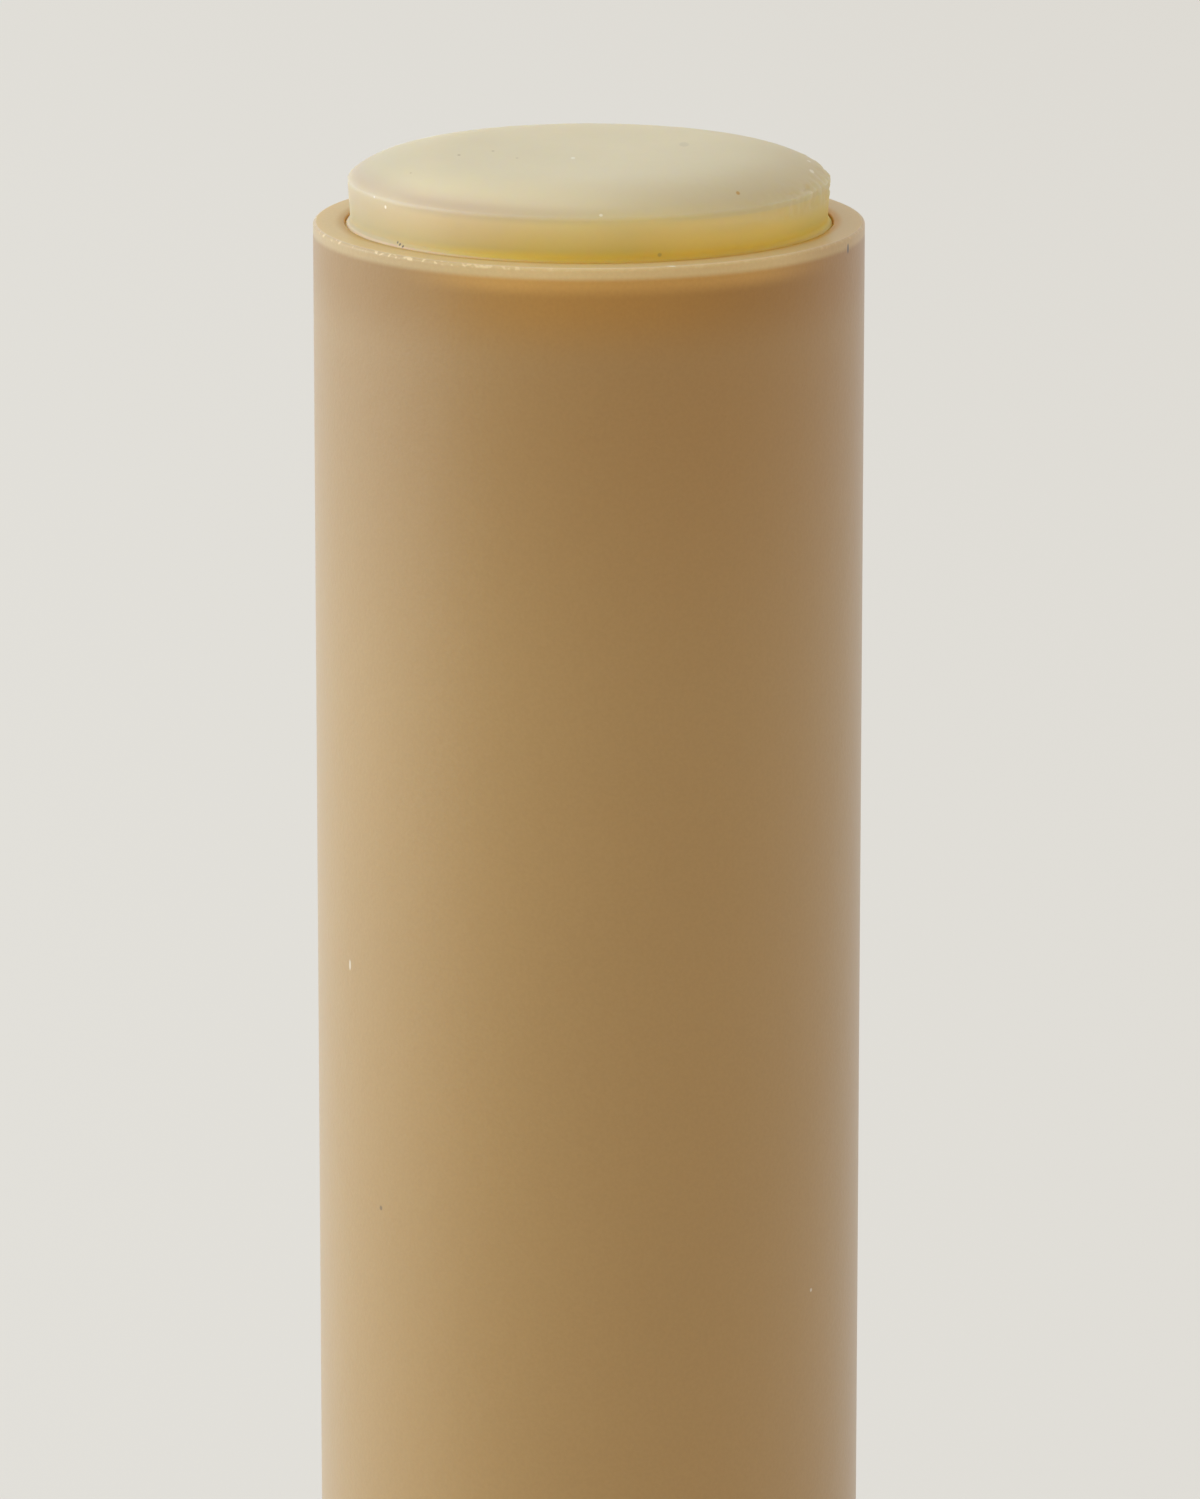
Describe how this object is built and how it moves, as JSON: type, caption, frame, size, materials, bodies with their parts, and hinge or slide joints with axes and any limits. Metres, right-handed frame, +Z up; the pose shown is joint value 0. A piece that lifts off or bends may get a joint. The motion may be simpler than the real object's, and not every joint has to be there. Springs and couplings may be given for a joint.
{
  "type": "lip balm stick",
  "caption": "Uncapped twist-up lip balm stick: tan plastic barrel with straight neck, fluted turning wheel, screw-lifted cup and pale wax balm just proud of the rim.",
  "frame": {"origin": "on the axis, at the level that the turning wheel's underside rests on", "axes": "+Z up along the barrel's axis to the balm, -Y towards the viewer of the picture, +X to the viewer's right"},
  "size_m": [0.016, 0.016, 0.0658],
  "materials": {
    "tan_plastic": "fine matte, slightly translucent moulded polypropylene, warm tan",
    "natural_plastic": "uncoloured moulded polyethylene, satin",
    "balm_wax": "pale cream-yellow wax, satin, translucent, with small pits"
  },
  "bodies": {
    "tube": {"barrel": "tan_plastic"},
    "drive": {"turning_wheel": "tan_plastic", "spindle": "natural_plastic"},
    "carrier": {"carrier_cup": "natural_plastic", "balm": "balm_wax"}
  },
  "joints": [
    {"name": "wheel_turn", "type": "hinge", "parent": "tube", "child": "drive", "pos_m": [0, 0, 0], "axis": [0, 0, 1], "range_deg": [-270.2, 3330.2]},
    {"name": "balm_lift", "type": "slide", "parent": "tube", "child": "carrier", "axis": [0, 0, 1], "range_m": [-0.003, 0.037]}
  ],
  "couplings": [
    {"joint": "wheel_turn", "follows": "balm_lift", "rad_per_m": 1570.8}
  ]
}
